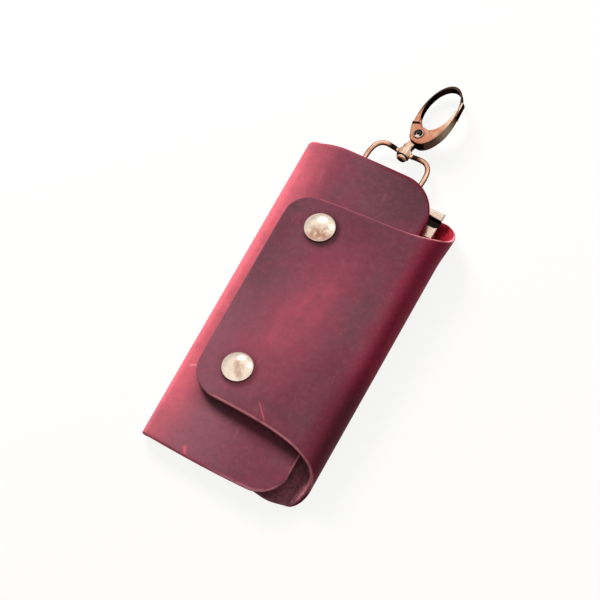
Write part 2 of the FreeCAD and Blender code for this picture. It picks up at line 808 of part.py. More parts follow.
def gate_spring_shape():
    """Open ring of wire on the rivet, in the pocket under the hook's root."""
    base = pivot - Z_AXIS * tang_thickness / 2
    ring = Part.makeCylinder(pin_radius + spring_wire_thickness, spring_wire_thickness, base)
    ring = ring.cut(Part.makeCylinder(pin_radius, spring_wire_thickness, base))
    wire = spring_wire_thickness
    gap = box((0, pin_radius + 2 * wire), (-wire, wire), (-overrun, overrun))
    gap.translate(pivot)
    return ring.cut(gap)


def rolled(shape):
    """Clasp pieces turned about the stem to the way they lie."""
    turned_shape = shape.copy()
    turned_shape.rotate(ORIGIN, Y_AXIS, -clasp_roll_angle)
    turned_shape.translate(V(0, eye_depth, 0))
    return turned_shape


def resting_tilt(shapes):
    """Tilt of the eye at which the lowest point of the clasp meets the surface under the case."""
    tilts = []
    for shape in shapes:
        for point in shape.tessellate(running_clearance)[0]:
            reach = math.hypot(point.y, point.z)
            tilts.append(-math.asin(bar_height / reach) - math.atan2(point.z, point.y))
    return max(tilts)


def tilted(shape, angle):
    placed = shape.copy()
    placed.rotate(ORIGIN, X_AXIS, math.degrees(angle))
    placed.translate(V(-eye_slide_distance, bar_reach, bar_height))
    return askew(placed)


def build():
    parts = {}
    outer = outer_flap_shape()
    inner = inner_flap_shape()
    snap_places = {"upper": (-snap_inset_distance_upper, upper_snap_reach),
                   "lower": (-snap_inset_distance_lower, -lower_snap_reach)}
    for name, place in snap_places.items():
        pieces, outer_cut, inner_cut = snap_parts(*place)
        outer = outer.cut(outer_cut)
        inner = inner.cut(inner_cut)
        for piece, shape in zip(("cap", "socket", "stud", "post"), pieces):
            parts[name + "_snap_" + piece] = shape
    caps = [rivet_cap_shape(place) for place in rivet_axes()]
    parts["back_panel"] = back_panel_shape().cut(caps + [rivet_holes()])
    parts["left_fold"] = left_fold_shape()
    parts["inner_flap"] = inner
    parts["right_fold"] = right_fold_shape()
    parts["outer_flap"] = outer
    parts["clasp_strap"] = askew(strap_shape()).cut(rivet_holes())
    parts["key_plate"] = key_plate_shape()
    parts["hook_rod"] = hook_rod_shape()
    for side, place, cap in zip(("left", "right"), rivet_axes(), caps):
        parts[side + "_plate_rivet"] = plate_rivet_shape(place)
        parts[side + "_rivet_cap"] = cap
    for index in range(hook_count):
        parts["key_hook_%d" % (index + 1)] = hook_place(hook_shape(), index)
        parts["hook_gate_%d" % (index + 1)] = hook_place(hook_gate_shape(), index)
    clasp = {"swivel_stem": stem_shape(), "clasp_hook": clasp_hook_shape(),
             "clasp_gate": clasp_gate_shape(), "gate_rivet": gate_rivet_shape(),
             "gate_spring": gate_spring_shape()}
    lying = {name: rolled(shape) for name, shape in clasp.items()}
    tilt = resting_tilt(lying.values())
    parts["swivel_eye"] = tilted(eye_shape(), tilt)
    for name, shape in lying.items():
        parts[name] = tilted(shape, tilt)
    print("eye tilt %.3f degrees" % math.degrees(tilt))
    print("hook droop %.3f degrees" % math.degrees(hook_droop))
    print("bar at Y %.3f Z %.3f" % (bar_reach, bar_height))
    for place in snap_places.values():
        print("press stud sheets apart %.3f" % snap_frame(*place)[3])
    print("rod at Y %.3f Z %.3f" % (rod_place, rod_height))
    return parts


def main():
    os.makedirs("parts", exist_ok=True)
    for name, shape in build().items():
        shape.exportStep("parts/" + name + ".step")
        print("%-20s solids %d volume %.2f" % (name, len(shape.Solids), shape.Volume))


main()
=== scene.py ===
import json
import math

import bmesh
import bpy
from mathutils import Matrix, Vector, noise


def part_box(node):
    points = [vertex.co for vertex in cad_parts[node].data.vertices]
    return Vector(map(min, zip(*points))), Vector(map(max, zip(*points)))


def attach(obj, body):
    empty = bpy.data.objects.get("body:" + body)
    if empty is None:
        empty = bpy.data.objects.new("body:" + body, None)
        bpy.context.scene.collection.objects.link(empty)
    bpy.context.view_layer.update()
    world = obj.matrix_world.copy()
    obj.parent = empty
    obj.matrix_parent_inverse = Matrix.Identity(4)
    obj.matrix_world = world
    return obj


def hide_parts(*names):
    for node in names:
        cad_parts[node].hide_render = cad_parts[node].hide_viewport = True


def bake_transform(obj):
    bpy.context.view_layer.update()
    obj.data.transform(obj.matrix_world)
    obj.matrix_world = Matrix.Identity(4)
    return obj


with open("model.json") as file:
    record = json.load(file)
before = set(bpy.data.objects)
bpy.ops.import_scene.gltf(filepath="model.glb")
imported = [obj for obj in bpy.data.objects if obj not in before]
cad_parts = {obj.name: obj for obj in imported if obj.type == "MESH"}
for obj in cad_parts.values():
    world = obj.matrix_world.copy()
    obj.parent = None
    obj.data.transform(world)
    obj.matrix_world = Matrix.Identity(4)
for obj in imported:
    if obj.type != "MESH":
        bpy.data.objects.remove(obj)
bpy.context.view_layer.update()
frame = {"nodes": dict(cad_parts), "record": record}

bl_info = {
    "name": "Leather Key Case",
    "version": (1, 0, 0),
    "blender": (4, 5, 0),
    "location": "3D View > Sidebar > Key Case",
    "description": "Folded leather, press studs, key hooks and a swivel clasp on the packed key case",
    "category": "Object",
}

# The case lies on its back: X across, Y towards the clasp, Z up. Sizes are those of the solids, in
# millimetres; a pair is for the lower and the upper end. Every mesh is written in metres. FAR stands for
# the distance from a free edge where a sheet has none.
MM = 0.001
FAR = 99.0
QUARTER = math.pi / 2

# Sheet, folds and back: half widths, radii of the folds and ends of the back beside each fold. The back's
# lower left end alone is set back from the solid's, by 1.2, so that the corner shows closed.
THICKNESS = 1.8
LOWER, UPPER = 65.0, 67.5
LEFT_WIDTH = (32.0, 32.7)
RIGHT_WIDTH = (32.0, 32.3)
LEFT_RADIUS = (1.6, 4.0)
RIGHT_RADIUS = (4.75, 7.05)
BACK_LEFT = (63.8, 65.0)
BACK_RIGHT = (65.3, 60.9)

# Inner flap: free edge, rise in degrees at its fold and its edge, and the run of its ends.
INNER_EDGE = (22.9, 21.9)
INNER_RISES = ((2.2, 2.2), (5.0, 1.5))
INNER_SLANT = (2.8, 1.3)
INNER_BOW = 0.65
INNER_SETBACK = 2.05
INNER_FADE = 0.22
INNER_CORNER = (11.5, 15.0)

# Outer flap: free edge, rise, ends at its root and its tip, and the neck by which the fold narrows to it.
OUTER_EDGE = (26.1, 26.3)
OUTER_RISES = ((1.0, -7.5), (3.0, -9.0))
OUTER_ROOT = (44.9, 43.7)
OUTER_TIP = (41.9, 43.5)
OUTER_CORNER = (11.0, 9.0)
NECK = (9.5, 11.8)
NECK_POWER = (2, 3)

# Forms that the solids don't have: flared upper end of the right fold, rounded and bulged lower end,
# corners curled down, unevenness, and dips under press studs and rivets, with their reach.
FLARE = 0.9
FLARE_REACH = 14.0
HEEL = 0.8
HEEL_LENGTH = 6.5
BULGE = 1.4
BULGE_LENGTH = 7.0
CURL = 0.85
CURL_REACH = (3.0, 16.0)
WAVE_LENGTH = 21.0
WAVE_SEED = 3.7
WAVE_LEVELS = (8.0, 11.0)
STILL = (7.0, 18.0)
STUD_DIP = 0.25
INNER_DIP = (4.8, 7.5)
OUTER_DIP = {1: (5.9, 7.6), -1: (5.2, 7.5)}
OUTER_LEVEL = 6.0
RIVET_DIP = 0.12
RIVET_REACH = (3.6, 8.0)

# Strap round the bar of the eye, with its bend's start and height and its steps; groove of the key plate.
STRAP_THICKNESS = 1.0
STRAP_SOFT = 0.25
STRAP_HALF = 8.5
STRAP_LEG = (55.8, 63.0)
STRAP_TOP = 3.9
STRAP_BEND = (0.6, 0.02)
LEG_STEPS, CLIMB_STEPS, RING_STEPS, UNDER_STEPS = 5, 4, 16, 7
BAR = (66.8, 3.85)
RING = 1.55
ASKEW = 3.0
GROOVE = (54.6, 58.9)
HOOKS = 6

# Meshes: steps round a fold and over the back, places in a rounded edge, distances of rows and columns,
# reach of the pale cut-edge colour, partly a painted highlight, and of the band along an edge; then merging
# and bevelling of the metal.
FOLD_STEPS = 24
BACK_STEPS = 40
EDGE_STEPS = (0.0, 0.1, 0.35, 1.0)
PITCH = 1.4
OUTER_PITCH = 1.2
COLUMN_PITCH = 1.5
RIM_REACH = 1.6
BRINK = 3.0
MERGE = 1e-6
FLAT_ANGLE = math.radians(0.5)
SHARP_ANGLE = math.radians(38)

# Stage, in metres but for the sensor: floor, camera, and the lamps with place, size, share of the key
# light, and whether the metal mirrors them.
FLOOR_HALF = 3.0
FLOOR_LEVEL = -0.0003
TARGET = (-1.98 * MM, 10.45 * MM)
SENSOR = 36.0
NEAREST = 0.05
LAMPS = (("key", (-0.85, 0.68, 0.64), 0.6, 1.0, False),
         ("fill", (0.3, -0.6, 1.1), 0.9, 0.05, False),
         ("window", (-0.43, 0.96, 0.76), 0.5, 0.06, True),
         ("side", (0.39, 0.8, 0.93), 0.35, 0.02, True))

# Leather pattern: noise scales, patches (middle, radii, turn), scratches (ends, width), and the painted
# shadow round a press stud, with its shift from the stud.
SLOW, BLOTCH, DUST, FINE, NAP, RAW = 42.0, 230.0, 360.0, 620.0, 900.0, 240.0
OUTER_MID, INNER_MID = 95.0, 120.0
STREAK = (330.0, 55.0, 120.0)
HALO = ((-1.5, -7.0), (19.0, 42.0), -0.16)
CORE = ((-1.5, -3.0), (9.0, 23.0), -0.3)
WAXED = ((18.0, -30.0), (16.0, 34.0))
FOLD_SHADE = ((33.0, -36.0), (13.0, 32.0))
OUTER_SCRATCH = ((0.8, -37.6), (7.8, -45.6), 0.4)
STRIP_SCRATCH = ((-29.0, -34.6), (-26.0, -33.2), 0.8)
END_SCRATCH = ((-15.6, -62.4), (-13.4, -67.2), 1.0)
STUD_SHADOW = ((1.3, -0.9), (7.9, 7.9))

# Metal pattern: noise scales, tarnish with a painted reflection beside each press stud's middle (shift,
# radii, turn), and the clasp's painted dark and pale places with their strength, from its boss, or from the
# gate's rivet for the painted shadow round it.
CLOUDS, STUD_CLOUDS = 340.0, 420.0
HAIR = (2600.0, 340.0, 900.0)
TARNISH_AND_REFLECTION = (((1.2, -3.0), (6.0, 4.2), 0.4), ((0.7, -0.4), (2.4, 6.4), 0.48))
GAP = ((12.7, 12.9), (14.05, 13.85), (0.5, 0.1))
GAP_SLOPE = 0.3
RIVET_SHADOW = ((2.35, 2.1), (1.75, 1.9))
TIP, CROWN, SHANK = ((12.0, 18.5), 1.0), ((17.0, 24.0), 0.88), ((8.4, 6.4), 0.85)


def middle_of(node):
    """Middle of a node's box, across and along, in millimetres."""
    low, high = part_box(node)
    return tuple((low[axis] + high[axis]) / 2 / MM for axis in (0, 1))


SNAPS = (middle_of("upper_snap_cap"), middle_of("lower_snap_cap"))
CORNERS = ((-OUTER_EDGE[0], -OUTER_TIP[0]), (-OUTER_EDGE[1], OUTER_TIP[1]))
RIVETS = (middle_of("left_rivet_cap"), middle_of("right_rivet_cap"))


def linear(red, green, blue):
    """Scene colour of a screen colour from 0 to 255."""
    shares = [value / 255 for value in (red, green, blue)]
    return tuple(s / 12.92 if s <= 0.04045 else ((s + 0.055) / 1.055) ** 2.4 for s in shares)


# Grey of the painted sheen on the gate's wall, and the pale that rubbing and painted highlights add to a
# metal.
SHEEN_GREY = linear(150, 142, 128)
RUBBED_AND_HIGHLIGHT = (0.66, 0.51, 0.38)


def colour(name, description, screen):
    return bpy.props.FloatVectorProperty(name=name, description=description, subtype="COLOR", size=3,
                                         min=0.0, max=1.0, default=linear(*screen))


def amount(name, description, default, **kind):
    return bpy.props.FloatProperty(name=name, description=description, default=default, **kind)


def length(name, description, millimetres):
    return amount(name, description, millimetres * MM, min=0.0, subtype="DISTANCE", unit="LENGTH",
                  precision=5)


def bearing(name, description, degrees):
    return amount(name, description, math.radians(degrees), subtype="ANGLE", unit="ROTATION")


def share(name, description, default):
    return amount(name, description, default, min=0.0, max=1.0, subtype="FACTOR")


class KeyCaseLeather(bpy.types.PropertyGroup):
    """Leather of the case and its strap."""
    edge_round: length("Edge Round", "Rounding of the cut edges", 0.45)
    wave: length("Wave", "Height of the slow unevenness of the flaps", 0.16)
    grain: length("Grain Size", "Size of one pore of the grain", 0.55)
    grain_depth: length("Grain Depth", "Depth of the grain", 0.05)
    wine: colour("Wine", "Main colour of the flaps", (128, 64, 78))
    mauve: colour("Mauve", "Waxy brown areas of the flaps", (116, 71, 81))
    lining: colour("Lining", "Inner face of the leather towards the lower end", (158, 96, 108))
    dusk: colour("Dusk", "Darkest waxed places near the edges", (82, 52, 60))
    worn: colour("Worn", "Redder patch where the outer flap is rubbed", (184, 82, 99))
    stretched: colour("Stretched", "Pale red where the leather is pulled over the left fold", (216, 104, 116))
    crimson: colour("Crimson", "Dark red over the right fold", (142, 34, 58))
    cut: colour("Cut Edge", "Raw cut edges", (240, 150, 160))
    flesh: colour("Flesh Side", "Inner face of the leather", (186, 36, 52))
    roughness: share("Roughness", "Roughness of the waxed face", 0.52)


class KeyCaseMetal(bpy.types.PropertyGroup):
    """Press studs, key plate, hooks and clasp."""
    bevel: length("Bevel", "Rounding of the edges of the metal pieces", 0.15)
    stud: colour("Press Studs", "Pale gold plating of the caps", (254, 234, 214))
    tan: colour("Tan", "Tarnished places of the caps", (196, 146, 122))
    plate: colour("Key Plate", "Warm nickel of the plate and hooks", (234, 208, 188))
    bronze: colour("Clasp", "Antique copper of the clasp and eye", (212, 140, 108))
    patina_and_painted_light: colour("Patina", "Dark patina on the walls of the clasp", (30, 24, 22))
    roughness: share("Roughness", "Roughness of the plating", 0.22)


class KeyCaseStage(bpy.types.PropertyGroup):
    """Floor, light and camera."""
    floor: colour("Floor", "Colour of the floor", (255, 247, 247))
    distance: length("Camera Distance", "From the camera to its target", 1300.0)
    azimuth: bearing("Azimuth", "Camera's turn about the case", 27.4)
    elevation: bearing("Elevation", "Camera's height over the case", 63.0)
    lens: amount("Lens", "Focal length", 216.45, min=10.0, unit="CAMERA")
    key: amount("Key Light", "Power of the key light", 25.0, min=0.0, unit="POWER")
    ambient: share("Ambient", "Strength of the light from all round", 0.16)
    bright: share("Bright Floor", "Part of the floor that shows plain white", 0.89)


class Wire:
    """One socket of a shader tree, with the maths that the finishes are written in."""

    def __init__(self, tree, socket=None):
        self.tree = tree
        self.socket = socket

    def node(self, kind, inputs=None, settings=None, output=0):
        """New node with its settings, then the values or links of its sockets."""
        made = self.tree.nodes.new(kind)
        for key, value in (settings or {}).items():
            setattr(made, key, value)
        for key, value in (inputs or {}).items():
            if isinstance(value, Wire):
                self.tree.links.new(value.socket, made.inputs[key])
            elif made.inputs[key].type == "RGBA":
                made.inputs[key].default_value = (*value, 1.0)
            else:
                made.inputs[key].default_value = value
        return Wire(self.tree, made.outputs[output])

    def maths(self, operation, *values):
        return self.node("ShaderNodeMath", dict(enumerate(values)), {"operation": operation})

    def __add__(self, other):
        return self.maths("ADD", self, other)

    def __radd__(self, other):
        return self.maths("ADD", other, self)

    def __sub__(self, other):
        return self.maths("SUBTRACT", self, other)

    def __rsub__(self, other):
        return self.maths("SUBTRACT", other, self)

    def __mul__(self, other):
        return self.maths("MULTIPLY", self, other)

    def __rmul__(self, other):
        return self.maths("MULTIPLY", other, self)

    def __truediv__(self, other):
        return self.maths("DIVIDE", self, other)

    def __rtruediv__(self, other):
        return self.maths("DIVIDE", other, self)

    def __pow__(self, other):
        return self.maths("POWER", self, other)

    def __abs__(self):
        return self.maths("ABSOLUTE", self)

    def clip(self):
        return self.node("ShaderNodeClamp", {"Value": self})

    def most(self, other):
        return self.maths("MAXIMUM", self, other)

    def fade(self, start, end):
        """Smooth step from 0 at start to 1 at end."""
        low, high, out = (start, end, (0.0, 1.0)) if start < end else (end, start, (1.0, 0.0))
        return self.node("ShaderNodeMapRange", {"Value": self, "From Min": low, "From Max": high,
                                                "To Min": out[0], "To Max": out[1]},
                         {"interpolation_type": "SMOOTHSTEP"})

    def blend(self, first, second):
        """Colour between two colours, with this value as the factor."""
        return self.node("ShaderNodeMix", {0: self, 6: first, 7: second}, {"data_type": "RGBA"}, 2)

    def parts(self):
        split = self.node("ShaderNodeSeparateXYZ", {0: self}).socket.node
        return [Wire(self.tree, socket) for socket in split.outputs]

    def plan(self):
        """Place across and along the case, in millimetres."""
        x, y, _ = self.parts()
        return x / MM, y / MM

    def cloud(self, scale, detail=3.0, roughness=0.55, stretch=None, turn=0.0):
        """Noise on this vector, with features of about one over the scale, stretched if asked."""
        vector = self
        if stretch:
            vector = self.node("ShaderNodeMapping", {"Vector": self, "Rotation": (0.0, 0.0, turn),
                                                     "Scale": stretch})
        return vector.node("ShaderNodeTexNoise", {"Vector": vector, "Scale": scale, "Detail": detail,
                                                  "Roughness": roughness})

    def cells(self, scale):
        return self.node("ShaderNodeTexVoronoi", {"Vector": self, "Scale": scale})

    def end(self, kind):
        """Output of the tree, with this shader as its surface."""
        output = self.tree.nodes.new(kind)
        self.tree.links.new(self.socket, output.inputs["Surface"])


def finish_tree(name):
    """Empty material and its start wire."""
    material = bpy.data.materials.new(name)
    material.use_nodes = True
    material.node_tree.nodes.clear()
    return material, Wire(material.node_tree)


def surface(start, inputs):
    """Principled shader and the output of a material."""
    start.node("ShaderNodeBsdfPrincipled", inputs).end("ShaderNodeOutputMaterial")


def attribute(start, name, output="Fac"):
    return start.node("ShaderNodeAttribute", None, {"attribute_name": name}, output)


def dim(tone, part):
    return tuple(value * part for value in tone)


def beside(place, shift):
    return place[0] + shift[0], place[1] + shift[1]


def spot(x, y, centre, radii, turn=0.0):
    """Soft ellipse on the flaps, 1 in its middle and 0 from its rim on, in millimetres."""
    c, s = math.cos(turn), math.sin(turn)
    dx, dy = x - centre[0], y - centre[1]
    across = (dx * c + dy * s) / radii[0]
    along = (dy * c - dx * s) / radii[1]
    return (across * across + along * along).fade(1.0, 0.0)


def mark(x, y, start, end, width):
    """Thin line between two places on the flaps, in millimetres."""
    span = Vector(end) - Vector(start)
    reach = span.length
    way = span / reach
    dx, dy = x - start[0], y - start[1]
    along = dx * way.x + dy * way.y
    across = abs(dx * way.y - dy * way.x)
    line = across.fade(width, 0.0)
    return line * along.fade(0.0, 0.2 * reach) * along.fade(reach, 0.7 * reach)


def leather_finish(name, skin, tone):
    """Waxed pull-up leather: slow changes of tone, rubbed and stretched places, fine grain, pale cut edges
    with a painted highlight, and an inner face partly painted light.
    """
    material, start = finish_tree(name)
    place = attribute(start, "rest", "Vector")
    rim, inside, brink = (attribute(start, label) for label in ("rim", "flesh", "brink"))
    x, y = place.plan()
    slow = place.cloud(SLOW, 4.0, 0.6)
    streak = place.cloud(1.0, 4.0, 0.62, STREAK, 0.35)
    fine = place.cloud(FINE, 3.0, 0.6)
    nap = place.cloud(NAP, 3.0, 0.7)
    pore = place.cells(1.0 / skin.grain)
    base = slow.fade(0.38, 0.64).blend(skin.mauve, skin.wine)
    base = (place.cloud(BLOTCH, 4.0, 0.65).fade(0.62, 0.3) * 0.22).blend(base, skin.dusk)
    base = (place.cloud(DUST, 5.0, 0.72).fade(0.5, 0.7) * 0.2).blend(base, skin.lining)
    base, cut = tone(base, x, y, streak, brink, place, skin)
    base = (fine.fade(0.45, 0.75) * 0.1).blend(base, skin.worn)
    shade = fine.fade(0.55, 0.25) * 0.14 + pore.fade(0.25, 0.0) * 0.1
    base = shade.blend(base, dim(skin.mauve, 0.45))
    # Painted light: the inner face turns from the lining colour at the lower end to red towards the upper
    # end, and pales inside the lower end of the right fold.
    hide = y.fade(-10, 45).blend(skin.lining, skin.flesh)
    hide = (x.fade(17, 25) * y.fade(-42, -54) * 0.4).blend(hide, skin.cut)
    hide = (nap.fade(0.75, 0.3) * 0.5).blend(hide, dim(skin.dusk, 0.4))
    base = inside.fade(0.4, 0.9).blend(base, hide)
    # Pale colour of the unfinished cut edges, partly a painted highlight along the arris.
    raw_and_glint = rim.fade(0.15, 0.75) * place.cloud(RAW, 3.0).fade(0.15, 0.5) * 0.92
    base = raw_and_glint.blend(base, cut)
    rough = (fine - 0.5) * 0.22 + (slow - 0.5) * 0.25 + skin.roughness
    rough = (rough + inside * 0.3 + rim * 0.12).clip()
    height = pore.fade(0.0, 0.55) * 0.7 + fine * 0.5 + streak * 0.35 + nap * inside * 0.8
    normal = start.node("ShaderNodeBump", {"Strength": 0.55, "Distance": skin.grain_depth,
                                           "Height": height})
    surface(start, {"Base Color": base, "Roughness": rough, "Normal": normal, "Specular IOR Level": 0.07})
    return material


# The tones of the sheets: each gives the colour of the face and that of the cut edge.

def outer_tone(base, x, y, streak, brink, place, dye):
    """Outer flap: rubbed red in its middle, crimson round the right fold, fine light scuffs, painted shadows
    of the press studs and painted shade low on the right fold.
    """
    mid = place.cloud(OUTER_MID, 4.0, 0.62)
    shaded = x.fade(-13, -25) * y.fade(-12, 26) * 0.5 + y.fade(22, 42) * 0.4
    shaded = shaded + spot(x, y, *WAXED) * 0.25
    base = (shaded * (mid.fade(0.2, 0.6) * 0.6 + 0.4)).clip().blend(base, dye.dusk)
    base = (x.fade(-4, -24) * y.fade(10, -24) * 0.42).blend(base, dye.lining)
    # Painted shadow of each press stud: a dark ring shifted from the stud towards the right and the lower
    # end.
    for snap in SNAPS:
        stud_shadow = (spot(x, y, beside(snap, STUD_SHADOW[0]), STUD_SHADOW[1]) * 2.6).clip() * 0.85
        base = stud_shadow.blend(base, dim(dye.dusk, 0.4))
    halo = spot(x, y, *HALO) * 0.3
    core = spot(x, y, *CORE) * (mid.fade(0.2, 0.8) * 0.42 + streak.fade(0.3, 0.7) * 0.22)
    base = (halo + core).clip().blend(base, dye.worn)
    fold = (x.fade(20, 31) + (mid - 0.5) * x.fade(10, 24) * 0.7).clip()
    base = fold.blend(base, dye.crimson)
    ripe = dim(dye.crimson, 0.5)
    # Painted shade: the lower part of the right fold and the flap beside it are darkened.
    base = (spot(x, y, *FOLD_SHADE) * 0.85).blend(base, ripe)
    base = (x.fade(18, 25) * y.fade(-8, -24) * 0.35).blend(base, dye.dusk)
    scuff = (streak.fade(0.6, 0.78) * 0.12).most(mark(x, y, *OUTER_SCRATCH) * 0.6)
    cut = y.fade(-26, -38).most(x.fade(14, 26)).blend(dye.worn, dye.cut)
    calm = x.fade(-13, -19).most(x.fade(24, 12) * y.fade(0, 20) * 0.5)
    cut = calm.blend(cut, dye.mauve)
    # Painted shade: the cut edges over the right fold darken towards its lower end.
    shaded_end = y.fade(10, -20) * (y.fade(-55, -61) * 0.5 + 0.5)
    cut = (x.fade(16, 27) * shaded_end).blend(cut, ripe)
    return scuff.blend(base, dye.stretched), cut


def inner_tone(base, x, y, streak, brink, place, dye):
    """Inner flap: pale where it is pulled over the left fold, burnished dark red along its upper end."""
    mid = place.cloud(INNER_MID, 4.0, 0.62)
    pulled = x.fade(-13, -31) ** 1.4 * (y.fade(-64, -40) * 0.42 + 0.55)
    pulled = pulled * (1.0 - y.fade(42, 68) * 0.45)
    pulled = (pulled * (mid.fade(0.2, 0.65) * 0.45 + 0.7)).clip()
    waxed = x.fade(-8, 14) * y.fade(40, 52) * 0.5 + x.fade(-14, 0) * y.fade(48, 66) * 0.35
    base = (x.fade(10, -18) * y.fade(-42, -50) * 0.72).blend(base, dye.lining)
    base = waxed.blend(base, dye.dusk)
    base = pulled.blend(base, dye.stretched)
    ripe = dim(dye.crimson, 0.55)
    upper = x.fade(-18, 4) * y.fade(20, 40)
    base = (brink.fade(0.25, 0.85) * upper * 0.85).blend(base, ripe)
    scuff = (streak.fade(0.62, 0.8) * 0.1).most(mark(x, y, *STRIP_SCRATCH) * 0.7)
    base = mark(x, y, *END_SCRATCH).blend(base, dye.stretched)
    cut = x.fade(-8, 10).blend(dye.worn, dye.cut)
    return scuff.blend(base, dye.cut), upper.blend(cut, ripe)


def plain_tone(base, x, y, streak, brink, place, dye):
    """Back and strap: the waxed colour with light scuffs alone."""
    face = (streak.fade(0.6, 0.8) * 0.15).blend(base, dye.worn)
    # Painted shade: the cut edges darken towards the right fold.
    return face, x.fade(0, 20).blend(dye.cut, dim(dye.crimson, 0.6))


def metal_finish(name, tone, dark, roughness, wear, band=None, glow=None, edge=(1.0, 1.0, 1.0),
                 scale=CLOUDS, sheen_grey=None):
    """Plated metal with cloudy tarnish, fine rubbing marks and a little unevenness.

    The patina of a place runs from -1, pale from rubbing and painted highlights, to 1, dark from patina and
    painted shade; band and glow give dark and pale places beside it, largely painted shadow, reflection and
    highlight, edge is the colour of the glancing reflections, and the sheen grey that of half dark places, a
    painted sheen."""
    material, start = finish_tree(name)
    place = start.node("ShaderNodeTexCoord", output="Object")
    cloud = place.cloud(scale, 3.0, 0.55)
    hair = place.cloud(1.0, 3.0, 0.6, HAIR, 0.6)
    patina_and_painted_light = attribute(start, "patina_and_painted_light")
    shade = patina_and_painted_light.most(band(place)) if band else patina_and_painted_light.most(0.0)
    tarnish_and_shade = (cloud.fade(0.5, 0.78) * wear + hair.fade(0.55, 0.8) * wear * 0.4 + shade).clip()
    bright = cloud.fade(0.5, 0.3) * 0.4 - patina_and_painted_light
    bright = (bright + glow(place) if glow else bright).clip()
    base = bright.blend(tone, tuple(0.35 * value + pale for value, pale in zip(tone, RUBBED_AND_HIGHLIGHT)))
    base = tarnish_and_shade.blend(base, dark)
    if sheen_grey:
        base = (patina_and_painted_light.fade(0.3, 0.6) * patina_and_painted_light.fade(0.97, 0.7)).blend(base, sheen_grey)
    rough = ((cloud - 0.5) * 0.16 + (hair - 0.5) * 0.12 + roughness).clip()
    normal = start.node("ShaderNodeBump", {"Strength": 0.06, "Distance": 0.05 * MM,
                                           "Height": cloud + hair * 0.3})
    surface(start, {"Base Color": base, "Roughness": rough, "Normal": normal, "Metallic": 1.0,
                    "Specular Tint": edge})
    return material


def between(pair, y):
    part = (y + LOWER) / (LOWER + UPPER)
    return pair[0] + (pair[1] - pair[0]) * part


def nearest(point, places):
    """Distance over the case from a point to the nearest of some places."""
    return min(math.dist((point.x, point.y), place) for place in places)


def step(value, start, end):
    part = min(1.0, max(0.0, (value - start) / (end - start)))
    return part * part * (3 - 2 * part)


def fold_centre(side, y):
    """Middle of a fold, side -1 at the left and 1 at the right, and its radius."""
    radius = between(LEFT_RADIUS if side < 0 else RIGHT_RADIUS, y)
    inset = THICKNESS / 2 + radius
    width = between(LEFT_WIDTH if side < 0 else RIGHT_WIDTH, y)
    return Vector((side * (width - inset), y, inset)), radius


def rise(span, part, angles):
    start, end = (math.tan(math.radians(angle)) for angle in angles)
    return span * (start * part + (end - start) * part * part / 2)


def flap_point(side, part, y):
    """Middle of a flap's sheet, part 0 at its fold and 1 at its free edge."""
    edges, angles = (INNER_EDGE, INNER_RISES) if side < 0 else (OUTER_EDGE, OUTER_RISES)
    ends = []
    for end, place in enumerate((-LOWER, UPPER)):
        centre, radius = fold_centre(side, place)
        span = edges[end] + side * centre.x
        ends.append((centre.x - side * span * part, centre.z + radius + rise(span, part, angles[end])))
    across, height = (between(pair, y) for pair in zip(*ends))
    return Vector((across, y, height))


def flap_normal(side, part, y):
    """Direction across the sheet at a place of a flap, without its part along the case."""
    across = flap_point(side, part + 0.01, y) - flap_point(side, part - 0.01, y)
    up = Vector((-across.z, 0.0, across.x)).normalized()
    return up if across.x > 0 else -up


def neck_ends(run, part):
    """Ends of the outer flap along Y, each at its own run round the right fold."""
    ends = []
    for end in (0, 1):
        fade = 1 / (1 + (run[end] / NECK[end]) ** NECK_POWER[end])
        reach = OUTER_ROOT[end] + (OUTER_TIP[end] - OUTER_ROOT[end]) * part
        ends.append(reach + (BACK_RIGHT[end] - OUTER_ROOT[end]) * fade)
    return -ends[0], ends[1]


def inner_ends(part):
    """Ends of the inner flap along Y at a part of its span."""
    fade = max(0.0, 1 - part / INNER_FADE) ** 2
    low = LOWER + INNER_SLANT[0] * part + INNER_BOW * math.sin(math.pi * part)
    return -low, UPPER + INNER_SLANT[1] * (0.5 - part) - INNER_SETBACK * fade


def edge_columns(span, corners, soft):
    """Distances from a free edge, fine at the rounding and along the corners."""
    near = [part * soft for part in EDGE_STEPS]
    turns = [corner * (1 - math.cos(math.radians(angle)))
             for corner in corners for angle in range(6, 91, 6)]
    for place in sorted(turns):
        if place > near[-1] + 0.15:
            near.append(place)
    last = near[-1]
    count = max(2, round((span - last) / COLUMN_PITCH))
    return near + [last + (span - last) * index / count for index in range(1, count + 1)]


def heel(distance):
    """Inset of the lower end beside the start of the right fold, and the bulge of the back before it."""
    inset = HEEL * math.exp(-(distance / HEEL_LENGTH) ** 2)
    return inset - BULGE * math.exp(-((distance - HEEL_LENGTH) / BULGE_LENGTH) ** 2)


def corner_inset(distance, corner):
    if distance >= corner:
        return 0.0
    return corner - math.sqrt(corner ** 2 - (corner - distance) ** 2)


